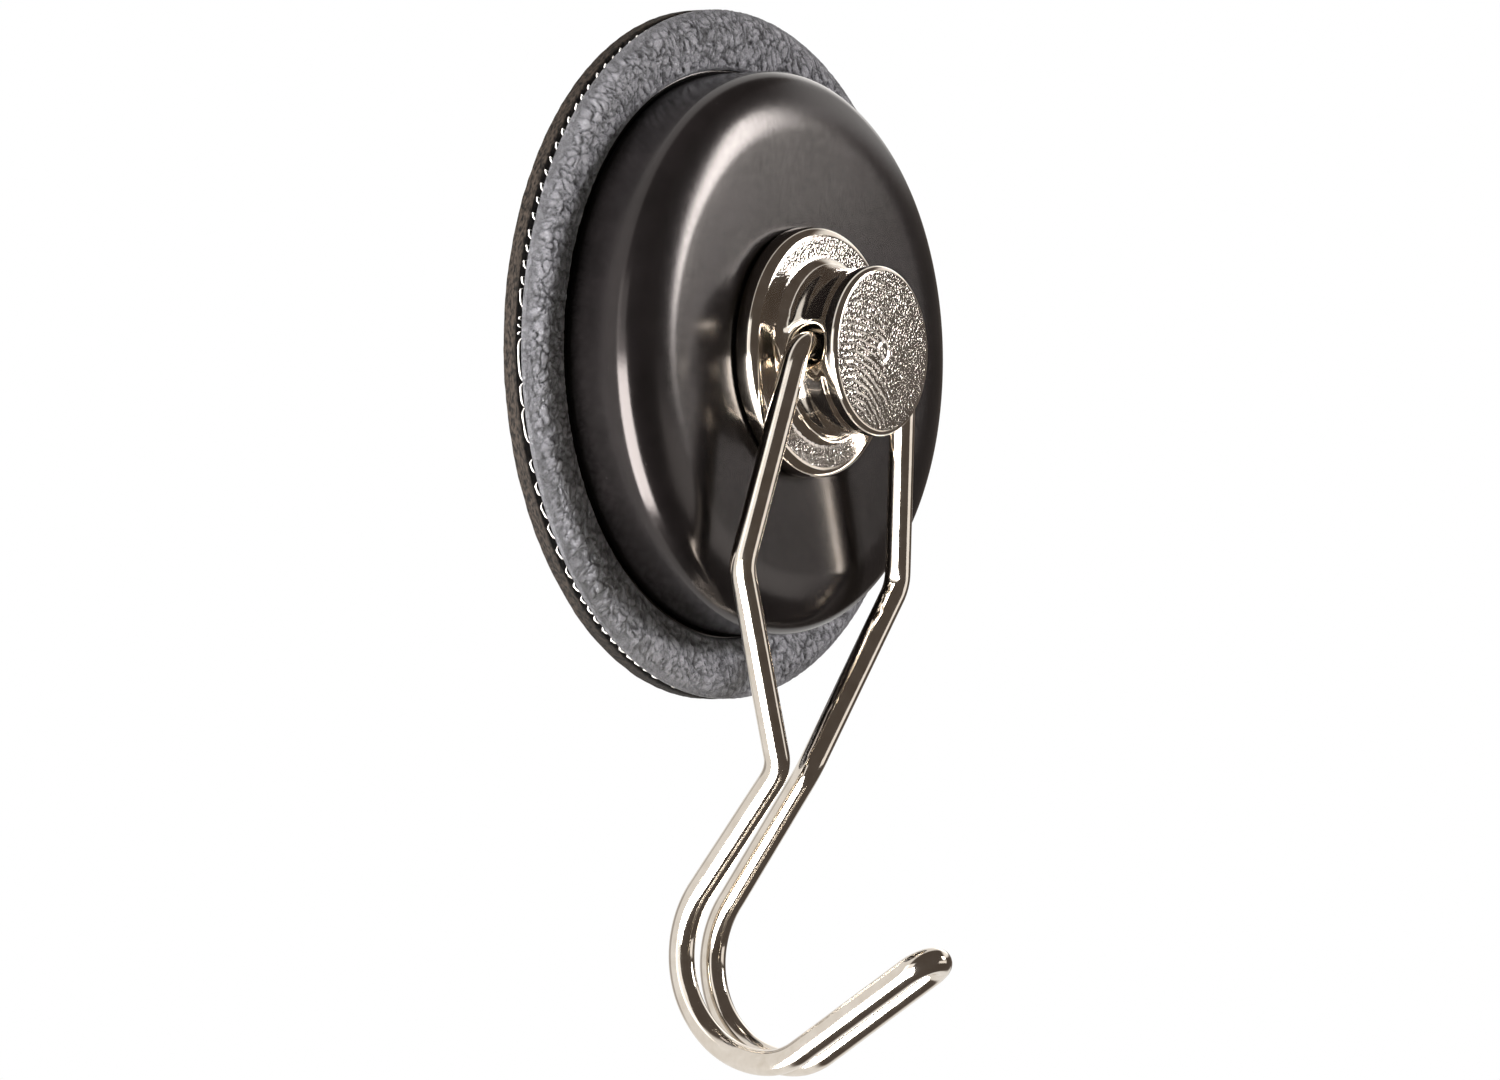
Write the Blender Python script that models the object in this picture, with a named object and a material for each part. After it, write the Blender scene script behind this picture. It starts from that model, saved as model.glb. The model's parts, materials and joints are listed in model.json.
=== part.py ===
"""Leather-faced magnetic hook: a pot magnet sewn between two leather layers, with a swivelling knob
that carries a swinging hook bent from one piece of wire.

Metres, +Z up. The origin is the centre of the leather pad's back face, the face that sticks to steel,
and the front of the hook faces -Y. "Forward" below is the distance from that back face along -Y.
"""
import math

import bmesh
import bpy
from mathutils import Matrix, Vector

MM = 0.001

# Driving dimensions
PAD_RADIUS = 50.0 * MM            # leather pad, outside
BACK_LEATHER = 2.1 * MM           # thickness of the thick back layer
PAD_THICKNESS = 3.9 * MM          # both layers at the sewn edge
CUP_RADIUS = 40.7 * MM            # outside of the steel cup's wall
CUP_FACE = 16.9 * MM              # the cup's flat face, forward of the pad's back
STEEL = 1.5 * MM                  # sheet thickness of the cup
KNOB_FLANGE_RADIUS = 18.15 * MM
NECK_RADIUS = 11.9 * MM
KNOB_FRONT = 30.4 * MM            # the knob's front face
WIRE_RADIUS = 1.88 * MM
BORE_FORWARD = 25.1 * MM          # the cross bore's axis, where the hook swings
BORE_RADIUS = 2.6 * MM
SWIVEL_AT_REST = 4.0              # degrees the knob is turned about its own axis at rest
MATING_GAP = 0.2 * MM             # air left between touching pieces

# Cup
CUP_FLAT_RADIUS = 31.7 * MM       # where the flat face starts to fall away
CROWN_RADIUS = 18.0 * MM          # large radius that eases the face into the corner
CROWN_ANGLE = 22.0
CORNER_RADIUS = 3.6 * MM
CORNER_END_ANGLE = 88.0
CUP_RIM_RADIUS = 45.0 * MM        # flat rim held between the leathers
CUP_RIM_BACK = BACK_LEATHER + MATING_GAP
CUP_RIM_THICKNESS = 1.3 * MM
RIM_FILLET = 0.4 * MM
CUP_HOLE_RADIUS = 4.7 * MM
SEAT_RADIUS = 12.6 * MM           # shallow recess that seats the bush's flange
SEAT_DEPTH = 0.5 * MM

# Leather
PAD_EDGE_ROUND = 0.3 * MM
CUP_OPENING = 41.3 * MM           # hole in the front leather
RAISED_FRONT = 5.2 * MM           # front leather's surface where it lies over the rim
OPENING_ROUND = 0.3 * MM
RAISED_END = 43.8 * MM            # where the surface starts to fall towards the seam
SLOPE_TOP = (45.6 * MM, 4.65 * MM)
SLOPE_FOOT = (47.2 * MM, 4.1 * MM)
SEWN_START = 48.6 * MM            # from here out the two leathers are one flat edge
RIM_STEP = 1.0 * MM               # room past the cup's rim before the leathers meet
SEAM_RADIUS = 49.6 * MM
THREAD_RADIUS = 0.25 * MM
GROOVE_FRONT = BACK_LEATHER + 1.1 * MM
GROOVE_BOTTOM_RADIUS = 48.8 * MM

# Magnet and what centres it
POLE_BORE = 8.6 * MM
POLE_RADIUS = 14.6 * MM
MAGNET_RADIUS = 31.2 * MM
SPACER_RADIUS = 38.8 * MM
SPACER_FRONT = 10.5 * MM
RADIAL_GAP = 0.3 * MM
MAGNET_BACK = BACK_LEATHER + 0.5 * MM
MAGNET_FRONT = CUP_FACE - SEAT_DEPTH - STEEL - MATING_GAP

# Swivel
BUSH_FLANGE_RADIUS = 12.0 * MM
BUSH_FLANGE_THICKNESS = 0.4 * MM
BUSH_RADIUS = 4.4 * MM
BUSH_BORE = 3.2 * MM
SCREW_RADIUS = 2.9 * MM
SCREW_HEAD_RADIUS = 5.5 * MM
SCREW_HEAD_HEIGHT = 1.8 * MM
SCREW_TIP = 21.5 * MM
SOCKET_RADIUS = 1.6 * MM
SOCKET_DEPTH = 1.0 * MM
WASHER_RADIUS = 8.0 * MM
WASHER_THICKNESS = 1.0 * MM

# Knob
KNOB_BACK = CUP_FACE - SEAT_DEPTH + BUSH_FLANGE_THICKNESS + 2 * MATING_GAP
FLANGE_FRONT = 20.5 * MM
FLANGE_BACK_ROUND = 0.3 * MM
FLANGE_FRONT_ROUND = 1.5 * MM
NECK_FILLET = 1.7 * MM
HEAD_RADIUS = 12.2 * MM
HEAD_BACK = 28.8 * MM
HEAD_ROUND = 0.8 * MM
KNOB_SOCKET_RADIUS = 3.2 * MM
KNOB_SOCKET_END = 21.9 * MM
MOUTH_RADIUS = 3.65 * MM          # funnel mouth of the cross bore at the neck's surface
FUNNEL_START = 7.5 * MM

# Wire hook, measured from the swing axis: forward (away from the wall) and down
WIRE_END = 2.0 * MM               # each end stops this far from the knob's centre
CORNER_OUT = 13.45 * MM           # where the wire turns down out of the bore
SHOULDER_OUT = 20.0 * MM          # half width of the bail at its widest
SHOULDER_BACK = -3.9 * MM
SHOULDER_DOWN = 32.2 * MM
THROAT_HALF = 3.7 * MM            # half the spacing of the two wires below the bail
THROAT_BACK = -7.3 * MM
THROAT_DOWN = 60.2 * MM
RUN_ANGLE = 35.0                  # the double run leans back this far from straight down
RUN_LENGTH = 22.4 * MM
HOOK_BEND = 15.0 * MM             # centreline radius of the J behind and below
TOE_BEND = 10.0 * MM              # tighter radius where the toe rises
TOE_ANGLE = 34.0                  # rise of the toe above level
TOE_LENGTH = 21.5 * MM
TOE_HALF = 3.1 * MM               # half the spacing of the two wires at the toe
PAIR_TWIST = 8.0                  # degrees that the pair of wires is twisted at the throat
TWIST_SHARE = 0.35                # share of the J's points over which the twist fades out
BORE_CORNER_BEND = 3.6 * MM
BAIL_BEND = 5.0 * MM
THROAT_BEND = 6.0 * MM

ROUND_SEGMENTS = 64
SMALL_SEGMENTS = 32
WIRE_SIDES = 12
SMOOTH_ANGLE = math.radians(35)


def clear_scene():
    for obj in list(bpy.data.objects):
        bpy.data.objects.remove(obj, do_unlink=True)


def material(name, colour, roughness, metallic=0.0):
    """A plain Principled material."""
    mat = bpy.data.materials.new(name)
    mat.use_nodes = True
    shader = mat.node_tree.nodes["Principled BSDF"]
    shader.inputs["Base Color"].default_value = (*colour, 1.0)
    shader.inputs["Roughness"].default_value = roughness
    shader.inputs["Metallic"].default_value = metallic
    return mat


def arc(centre, radius, start, end, steps):
    """Points of an arc in the (radius, forward) plane, angles in degrees from the outward direction."""
    points = []
    for i in range(steps + 1):
        angle = math.radians(start + (end - start) * i / steps)
        points.append((centre[0] + radius * math.cos(angle), centre[1] + radius * math.sin(angle)))
    return points


def finish_mesh(name, bm, mat, parent=None):
    """Turn a bmesh into a named, smooth-shaded object with one material."""
    bmesh.ops.recalc_face_normals(bm, faces=bm.faces)
    mesh = bpy.data.meshes.new(name)
    bm.to_mesh(mesh)
    bm.free()
    mesh.materials.append(mat)
    mesh.shade_smooth()
    mesh.set_sharp_from_angle(angle=SMOOTH_ANGLE)
    obj = bpy.data.objects.new(name, mesh)
    bpy.context.scene.collection.objects.link(obj)
    obj.parent = parent
    return obj


def turned(name, profile, mat, segments=ROUND_SEGMENTS, parent=None, closed=True):
    """Spin a (radius, forward) profile about the Y axis. A profile that starts and ends on the axis
    is left open, and its ends close where they meet the axis."""
    bm = bmesh.new()
    verts = [bm.verts.new((radius, -forward, 0.0)) for radius, forward in profile]
    edges = [bm.edges.new(pair) for pair in zip(verts, verts[1:])]
    if closed:
        edges.append(bm.edges.new((verts[-1], verts[0])))
    bmesh.ops.spin(bm, geom=verts + edges, axis=(0, 1, 0), cent=(0, 0, 0),
                   angle=math.tau, steps=segments, use_merge=True)
    bmesh.ops.remove_doubles(bm, verts=bm.verts, dist=1e-6)
    return finish_mesh(name, bm, mat, parent)


def ring(name, inner, outer, back, front, mat, segments=ROUND_SEGMENTS, parent=None):
    """A flat ring with square edges."""
    profile = [(inner, back), (outer, back), (outer, front), (inner, front)]
    return turned(name, profile, mat, segments, parent)


def back_leather(mat):
    """The thick disc that lies on the steel surface."""
    edge = PAD_RADIUS - PAD_EDGE_ROUND
    profile = [(0.0, 0.0)]
    profile += arc((edge, PAD_EDGE_ROUND), PAD_EDGE_ROUND, -90, 0, 3)
    profile += arc((edge, BACK_LEATHER - PAD_EDGE_ROUND), PAD_EDGE_ROUND, 0, 90, 3)
    profile.append((0.0, BACK_LEATHER))
    return turned("back_leather", profile, mat, closed=False)


def front_leather(mat):
    """The thin ring around the cup, raised over the cup's rim and skived for the seam at its edge."""
    rim_front = CUP_RIM_BACK + CUP_RIM_THICKNESS + MATING_GAP
    edge = PAD_RADIUS - PAD_EDGE_ROUND
    sewn_back = BACK_LEATHER + MATING_GAP
    profile = [
        (CUP_OPENING, rim_front),
        (CUP_OPENING, RAISED_FRONT - OPENING_ROUND),
        (CUP_OPENING + OPENING_ROUND, RAISED_FRONT),
        (RAISED_END, RAISED_FRONT - 0.1 * MM),
        SLOPE_TOP,
        SLOPE_FOOT,
        (SEWN_START, PAD_THICKNESS),
        (edge, PAD_THICKNESS),
        (PAD_RADIUS, PAD_THICKNESS - PAD_EDGE_ROUND),
        (PAD_RADIUS, GROOVE_FRONT),
        (GROOVE_BOTTOM_RADIUS, GROOVE_FRONT),
        (GROOVE_BOTTOM_RADIUS - 0.2 * MM, sewn_back),
        (CUP_RIM_RADIUS + RIM_STEP, sewn_back),
        (CUP_RIM_RADIUS + RADIAL_GAP, rim_front),
    ]
    return turned("front_leather", profile, mat)


def seam_thread(mat):
    """The line of stitching in the groove between the two leathers."""
    middle = (BACK_LEATHER + GROOVE_FRONT) / 2
    return turned("seam_thread", arc((SEAM_RADIUS, middle), THREAD_RADIUS, 0, 300, 5), mat)


def cup_outline(thickness):
    """Forward part of the cup's section, offset inwards by a thickness: flat, crown and corner."""
    crown = math.radians(CROWN_ANGLE)
    crown_centre = (CUP_FLAT_RADIUS, CUP_FACE - CROWN_RADIUS)
    corner_reach = CROWN_RADIUS - CORNER_RADIUS
    corner_centre = (crown_centre[0] + corner_reach * math.sin(crown),
                     crown_centre[1] + corner_reach * math.cos(crown))
    points = arc(crown_centre, CROWN_RADIUS - thickness, 90, 90 - CROWN_ANGLE, 5)
    points += arc(corner_centre, CORNER_RADIUS - thickness,
                  90 - CROWN_ANGLE, 90 - CORNER_END_ANGLE, 7)[1:]
    return points


def steel_cup(mat):
    """The stamped cup, open at the back, with a flat rim and a hole for the swivel."""
    rim_front = CUP_RIM_BACK + CUP_RIM_THICKNESS
    seat = CUP_FACE - SEAT_DEPTH
    profile = [(CUP_HOLE_RADIUS, seat), (SEAT_RADIUS, seat), (SEAT_RADIUS + SEAT_DEPTH, CUP_FACE)]
    profile += cup_outline(0.0)
    profile += arc((CUP_RADIUS + RIM_FILLET, rim_front + RIM_FILLET), RIM_FILLET, 180, 270, 3)
    profile += [
        (CUP_RIM_RADIUS, rim_front),
        (CUP_RIM_RADIUS, CUP_RIM_BACK),
        (CUP_RADIUS - STEEL, CUP_RIM_BACK),
    ]
    profile += reversed(cup_outline(STEEL))
    profile += [
        (SEAT_RADIUS + STEEL, CUP_FACE - STEEL),
        (SEAT_RADIUS + STEEL - SEAT_DEPTH, seat - STEEL),
        (CUP_HOLE_RADIUS, seat - STEEL),
    ]
    return turned("steel_cup", profile, mat)


def magnet_pieces(ferrite, steel, plastic):
    """Ring magnet, the steel pole in its bore, and the ring that centres it in the cup."""
    ring("centre_pole", POLE_BORE, POLE_RADIUS, MAGNET_BACK, MAGNET_FRONT, steel, SMALL_SEGMENTS)
    ring("ring_magnet", POLE_RADIUS + RADIAL_GAP, MAGNET_RADIUS, MAGNET_BACK, MAGNET_FRONT, ferrite)
    ring("magnet_spacer", MAGNET_RADIUS + RADIAL_GAP, SPACER_RADIUS, MAGNET_BACK, SPACER_FRONT, plastic)


def swivel_bush(mat):
    """Flanged bush through the cup's face; its flange is the knob's thrust face."""
    flange_back = CUP_FACE - SEAT_DEPTH + MATING_GAP
    back = flange_back - MATING_GAP - STEEL
    flange_front = flange_back + BUSH_FLANGE_THICKNESS
    profile = [
        (BUSH_BORE, back),
        (BUSH_RADIUS, back),
        (BUSH_RADIUS, flange_back),
        (BUSH_FLANGE_RADIUS, flange_back),
        (BUSH_FLANGE_RADIUS, flange_front),
        (BUSH_BORE, flange_front),
    ]
    return turned("swivel_bush", profile, mat, SMALL_SEGMENTS)


def swivel_screw(mat, parent):
    """Screw from inside the cup into the knob, with a socket in its head."""
    washer_back = CUP_FACE - SEAT_DEPTH - STEEL - MATING_GAP - WASHER_THICKNESS
    head_front = washer_back - MATING_GAP
    head_back = head_front - SCREW_HEAD_HEIGHT
    profile = [
        (0.0, head_back + SOCKET_DEPTH),
        (SOCKET_RADIUS, head_back + SOCKET_DEPTH),
        (SOCKET_RADIUS, head_back),
        (SCREW_HEAD_RADIUS - 0.4 * MM, head_back),
        (SCREW_HEAD_RADIUS, head_back + 0.4 * MM),
        (SCREW_HEAD_RADIUS, head_front),
        (SCREW_RADIUS, head_front),
        (SCREW_RADIUS, SCREW_TIP - 0.5 * MM),
        (SCREW_RADIUS - 0.5 * MM, SCREW_TIP),
        (0.0, SCREW_TIP),
    ]
    turned("swivel_screw", profile, mat, SMALL_SEGMENTS, parent, closed=False)
    ring("screw_washer", BUSH_BORE, WASHER_RADIUS, washer_back, washer_back + WASHER_THICKNESS, mat,
         SMALL_SEGMENTS, parent)


def bore_cutter(parent):
    """Cutter for the cross bore: a straight bore that opens into a round-lipped funnel at each side."""
    bm = bmesh.new()
    funnel = [(FUNNEL_START, BORE_RADIUS)]
    for step in (0.4, 0.7, 0.9, 1.0, 1.15):
        out = FUNNEL_START + (NECK_RADIUS - FUNNEL_START) * step
        funnel.append((out, BORE_RADIUS + (MOUTH_RADIUS - BORE_RADIUS) * step ** 2.5))
    points = [(-out, radius) for out, radius in reversed(funnel)] + funnel
    points = [(points[0][0], 0.0)] + points + [(points[-1][0], 0.0)]
    verts = [bm.verts.new((x, 0.0, radius)) for x, radius in points]
    edges = [bm.edges.new(pair) for pair in zip(verts, verts[1:])]
    bmesh.ops.spin(bm, geom=verts + edges, axis=(1, 0, 0), cent=(0, 0, 0),
                   angle=math.tau, steps=24, use_merge=True)
    bmesh.ops.remove_doubles(bm, verts=bm.verts, dist=1e-6)
    cutter = finish_mesh("bore_cutter", bm, material("cutter", (1, 0, 0), 0.5), parent)
    cutter.location = (0.0, -BORE_FORWARD, 0.0)
    cutter.hide_render = True
    cutter.display_type = "WIRE"
    return cutter


def swivel_knob(mat, parent):
    """One turned piece: flange, filleted neck and head, with a socket for the screw at the back."""
    flange_side = KNOB_FLANGE_RADIUS
    profile = [(0.0, KNOB_SOCKET_END), (KNOB_SOCKET_RADIUS, KNOB_SOCKET_END), (KNOB_SOCKET_RADIUS, KNOB_BACK)]
    profile += arc((flange_side - FLANGE_BACK_ROUND, KNOB_BACK + FLANGE_BACK_ROUND),
                   FLANGE_BACK_ROUND, -90, 0, 2)
    profile += arc((flange_side - FLANGE_FRONT_ROUND, FLANGE_FRONT - FLANGE_FRONT_ROUND),
                   FLANGE_FRONT_ROUND, 0, 90, 5)
    profile += arc((NECK_RADIUS + 0.3 * MM + NECK_FILLET, FLANGE_FRONT + NECK_FILLET), NECK_FILLET,
                   270, 180, 4)
    profile += [
        (NECK_RADIUS, 24.0 * MM),
        (NECK_RADIUS, 26.0 * MM),
        (NECK_RADIUS + 0.12 * MM, 27.4 * MM),
        (HEAD_RADIUS, HEAD_BACK),
    ]
    profile += arc((HEAD_RADIUS - HEAD_ROUND, KNOB_FRONT - HEAD_ROUND), HEAD_ROUND, 0, 90, 4)
    profile.append((0.0, KNOB_FRONT))
    knob = turned("swivel_knob", profile, mat, 48, parent, closed=False)
    cut = knob.modifiers.new("cross bore", "BOOLEAN")
    cut.operation = "DIFFERENCE"
    cut.object = bore_cutter(parent)
    return knob


def rounded(corners, bends, step):
    """A polyline through the corners, each inner corner replaced by an arc of its bend radius."""
    points = [corners[0]]
    for before, corner, after, bend in zip(corners, corners[1:], corners[2:], bends):
        into = (before - corner).normalized()
        away = (after - corner).normalized()
        half = into.angle(away) / 2
        trim = bend / math.tan(half)
        centre = corner + (into + away).normalized() * (bend / math.sin(half))
        first = corner + into * trim - centre
        axis = first.cross(corner + away * trim - centre).normalized()
        turn = math.pi - 2 * half
        steps = max(3, round(bend * turn / step))
        for i in range(steps + 1):
            points.append(centre + Matrix.Rotation(turn * i / steps, 3, axis) @ first)
    points.append(corners[-1])
    return points


def hook_line():
    """Centreline of the J below the bail, as (forward, down) points with the inward normal of each."""
    heading = math.radians(270 - RUN_ANGLE)
    place = Vector((THROAT_BACK, -THROAT_DOWN))
    place += RUN_LENGTH * Vector((math.cos(heading), math.sin(heading)))
    line = []

    def record():
        normal = Vector((-math.sin(heading), math.cos(heading)))
        line.append((place.copy(), normal))

    record()
    for radius, turn, steps in ((HOOK_BEND, RUN_ANGLE + 90.0, 14), (TOE_BEND, TOE_ANGLE, 4)):
        step_turn = math.radians(turn) / steps
        chord = 2 * radius * math.sin(step_turn / 2)
        for _ in range(steps):
            middle = heading + step_turn / 2
            place += chord * Vector((math.cos(middle), math.sin(middle)))
            heading += step_turn
            record()
    for _ in range(5):
        place += TOE_LENGTH / 5 * Vector((math.cos(heading), math.sin(heading)))
        record()
    return line, heading


def hook_centreline():
    """The whole wire, from its end in one side of the bore round the toe to the other end.
    Points are (across, forward, up) measured from the swing axis."""
    line, toe_heading = hook_line()
    halves = {}
    for side in (-1, 1):
        bail = [
            Vector((side * WIRE_END, 0.0, 0.0)),
            Vector((side * CORNER_OUT, 0.0, 0.0)),
            Vector((side * SHOULDER_OUT, SHOULDER_BACK, -SHOULDER_DOWN)),
            Vector((side * THROAT_HALF, THROAT_BACK, -THROAT_DOWN)),
        ]
        pair = []
        for i, (place, normal) in enumerate(line):
            share = i / (len(line) - 1)
            half = THROAT_HALF + (TOE_HALF - THROAT_HALF) * share
            twist = math.radians(PAIR_TWIST * max(0.0, 1 - share / TWIST_SHARE))
            inward = side * half * math.sin(twist)
            pair.append(Vector((side * half * math.cos(twist), place.x + inward * normal.x,
                                place.y + inward * normal.y)))
        bends = (BORE_CORNER_BEND, BAIL_BEND, THROAT_BEND)
        halves[side] = rounded(bail + [pair[0]], bends, 1.6 * MM)[:-1] + pair
    left_tip, right_tip = halves[-1][-1], halves[1][-1]
    across = (right_tip - left_tip) / 2
    ahead = Vector((0.0, math.cos(toe_heading), math.sin(toe_heading))) * across.length
    toe = []
    for i in range(1, 8):
        angle = math.pi * i / 8
        toe.append((left_tip + right_tip) / 2 - across * math.cos(angle) + ahead * math.sin(angle))
    return halves[-1] + toe + halves[1][::-1]


def wire_hook(mat, parent):
    """The hook: one wire swept along its centreline, with filled ends."""
    points = hook_centreline()
    curve = bpy.data.curves.new("wire_hook", "CURVE")
    curve.dimensions = "3D"
    curve.bevel_depth = WIRE_RADIUS
    curve.bevel_resolution = WIRE_SIDES // 4
    curve.use_fill_caps = True
    curve.twist_mode = "MINIMUM"
    spline = curve.splines.new("POLY")
    spline.points.add(len(points) - 1)
    for place, point in zip(spline.points, points):
        place.co = (point.x, -point.y, point.z, 1.0)
        place.radius = 1.0
    spline.use_smooth = True
    curve.materials.append(mat)
    obj = bpy.data.objects.new("wire_hook", curve)
    bpy.context.scene.collection.objects.link(obj)
    obj.parent = parent
    return obj


def empty(name, location, parent=None):
    obj = bpy.data.objects.new(name, None)
    bpy.context.scene.collection.objects.link(obj)
    obj.location = location
    obj.parent = parent
    return obj


def build():
    clear_scene()
    leather = material("black_leather", (0.035, 0.035, 0.04), 0.55)
    thread = material("white_thread", (0.75, 0.73, 0.68), 0.8)
    paint = material("black_paint", (0.02, 0.018, 0.02), 0.3)
    nickel = material("nickel", (0.72, 0.68, 0.62), 0.15, 1.0)
    steel = material("zinc_steel", (0.5, 0.5, 0.5), 0.35, 1.0)
    ferrite = material("ferrite", (0.06, 0.06, 0.065), 0.6)
    plastic = material("nylon", (0.8, 0.78, 0.72), 0.5)

    back_leather(leather)
    front_leather(leather)
    seam_thread(thread)
    steel_cup(paint)
    magnet_pieces(ferrite, steel, plastic)
    swivel_bush(plastic)

    swivel_axis = empty("swivel_axis", (0.0, 0.0, 0.0))
    swivel_axis.rotation_euler = (0.0, math.radians(SWIVEL_AT_REST), 0.0)
    swivel_screw(steel, swivel_axis)
    swivel_knob(nickel, swivel_axis)
    swing_axis = empty("swing_axis", (0.0, -BORE_FORWARD, 0.0), swivel_axis)
    wire_hook(nickel, swing_axis)


build()
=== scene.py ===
"""Looks of the leather-faced magnetic hook: grained leather with a sewn edge, a painted steel cup, a turned
nickel knob and a wire hook, in a bright studio with dark flags.

Metres, in the frame of the CAD model: the pad's back face is the plane Y = 0, the front faces -Y, +Z up.
"Forward" below is the distance from the back face along -Y.
"""
import json
import math
import random

import bpy
from mathutils import Matrix, Vector, noise


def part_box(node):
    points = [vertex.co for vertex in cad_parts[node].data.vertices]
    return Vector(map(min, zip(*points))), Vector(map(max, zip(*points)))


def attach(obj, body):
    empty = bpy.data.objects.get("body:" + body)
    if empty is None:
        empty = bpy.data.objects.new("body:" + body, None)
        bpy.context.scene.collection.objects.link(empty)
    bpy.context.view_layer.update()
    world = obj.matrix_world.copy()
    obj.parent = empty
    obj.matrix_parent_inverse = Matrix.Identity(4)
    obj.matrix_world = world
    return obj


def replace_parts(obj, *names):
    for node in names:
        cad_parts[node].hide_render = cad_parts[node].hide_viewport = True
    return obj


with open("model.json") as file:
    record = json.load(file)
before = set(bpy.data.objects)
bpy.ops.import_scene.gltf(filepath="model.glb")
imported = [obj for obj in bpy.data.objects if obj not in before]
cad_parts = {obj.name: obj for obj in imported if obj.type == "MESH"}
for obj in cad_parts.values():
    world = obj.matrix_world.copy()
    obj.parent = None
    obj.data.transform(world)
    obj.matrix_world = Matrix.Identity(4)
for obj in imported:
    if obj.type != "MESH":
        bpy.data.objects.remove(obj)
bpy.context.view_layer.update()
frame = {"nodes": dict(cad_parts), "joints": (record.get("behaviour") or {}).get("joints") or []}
joints = {joint["name"]: joint for joint in frame["joints"]}

MM = 0.001
noise.seed_set(5)                       # noise_vector gives another result each run without it
SWIVEL_AT_REST = math.radians(4.0)      # the knob and hook are turned this far about the Y axis at rest
MATING_GAP = 0.2 * MM                   # between pieces that touch


def reach(node):
    """Outer radius, and forward distances of the back and the front, of a CAD piece turned about Y."""
    low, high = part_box(node)
    return high.x, -high.y, -low.y


PAD_RADIUS, _, BACK_LEATHER = reach("back_leather")
RAISED_FRONT = reach("front_leather")[2]
CUP_RIM_RADIUS, CUP_RIM_BACK, CUP_FACE = reach("steel_cup")
KNOB_FLANGE_RADIUS, KNOB_BACK, KNOB_FRONT = reach("swivel_knob")
BORE_FORWARD = -joints["hook_swing"]["pos_m"][1]

# Leather
PAD_THICKNESS = 3.9 * MM                # both layers at the sewn edge
EDGE_ROUND = 0.3 * MM
CUP_OPENING = 41.3 * MM
CREST_RADIUS = 45.8 * MM                # the ring dips from here to the cup and slopes to the seam
DIP = 0.80 * MM
WRINKLE_DEPTH = 0.46 * MM
BACK_WRINKLE_DEPTH = 0.12 * MM
LEVEL_RELIEF = 0.62                     # relief that leaves the ring's surface where it is
EDGE_SHADE_RELIEF = 0.5                  # relief value that colours the leather darker at the cup and the seam: painted shade
STRETCH_START = 48.7 * MM               # the wrinkles fade from here to STRETCH_END, where the seam pulls, and the colour there is painted darker as shade
STRETCH_END = 49.5 * MM
RING_SEGMENTS = 1300
DISC_SEGMENTS = 640

# Seam: places along it are arc lengths from -X up over the top
GROOVE_FRONT = BACK_LEATHER + 1.1 * MM
GROOVE_BOTTOM = 48.8 * MM
STITCH_RADIUS = 49.65 * MM
STITCH_HEIGHT = 0.34                    # place of the thread in the groove, as a share of its width
STITCH_DIVE = 0.75 * MM                 # how far a stitch's ends go in between the leathers
STITCH_PITCH = 3.5 * MM
CLOSE_PITCH = 2.35 * MM
CLOSE_STRETCHES = ((0, 75), (262, 318))     # degrees round the seam where it was sewn closer
STITCH_SHARE = 0.64                     # length of a stitch in pitches
THREAD_RADIUS = 0.125 * MM
TIED_OFF = ((1.6, 0.5, 0.25), (2.6, 0.6, -0.2), (3.7, 0.5, 0.1))    # (place, length, tilt) in millimetres
LONG_STITCHES = ((-2.2, 6.2, -0.12), (-7.2, 3.5, -0.10), (-11.6, 5.2, -0.14), (6.6, 2.9, -0.24))
EVEN_START = 9.0                        # millimetres; the even stitches run from here round to EVEN_STOP
EVEN_STOP = math.tau * STITCH_RADIUS / MM - 15.5

# Cup
CUP_RADIUS = 40.7 * MM
CUP_STEEL = 1.5 * MM
CUP_RIM_THICKNESS = 1.3 * MM
CUP_FLAT_RADIUS = 31.7 * MM
CROWN_RADIUS = 18.0 * MM
CROWN_ANGLE = 22.0
CORNER_RADIUS = 3.6 * MM
CORNER_END_ANGLE = 88.0
CUP_HOLE_RADIUS = 4.7 * MM
SEAT_RADIUS = 12.6 * MM
SEAT_DEPTH = 0.5 * MM
RIM_FILLET = 0.4 * MM
CUP_SEGMENTS = 256

# Knob
SOCKET_RADIUS = 3.2 * MM                # for the screw
SOCKET_FRONT = 21.9 * MM
NECK_RADIUS = 11.9 * MM
FLANGE_FRONT = 20.5 * MM
FLANGE_BACK_ROUND = 0.3 * MM
FLANGE_FRONT_ROUND = 1.5 * MM
GRAINY_FLANGE_ROWS = 7                  # rows of faces, from the rounded edge in
NECK_FILLET = 1.7 * MM
NECK_FOOT = NECK_RADIUS + 0.3 * MM      # radius where the fillet meets the neck
HEAD_RADIUS = 12.2 * MM
HEAD_BACK = 28.8 * MM
HEAD_ROUND = 0.8 * MM
BORE_RADIUS = 2.6 * MM
LIP_RADIUS = 4.05 * MM                  # where the rounded lip of the bore meets the neck
LIP_DEPTH = 1.6 * MM
RIPPLE_CENTRE = Vector((-8.0, -15.0))   # millimetres
RIPPLE_PERIOD = 1.05                    # millimetres
RIPPLE_DEPTH = 0.021 * MM
PUNCH_RADIUS = 1.35                     # millimetres: the ring-shaped mark in the middle of the head
PUNCH_WIDTH = 0.22
PUNCH_HEIGHT = 0.07 * MM
KNOB_SEGMENTS = 192
NECK_ROWS = 30                          # rows of faces beside the bore
PATCH_HALF_COLUMNS = 13                 # columns of faces on each side of the bore's axis

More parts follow.
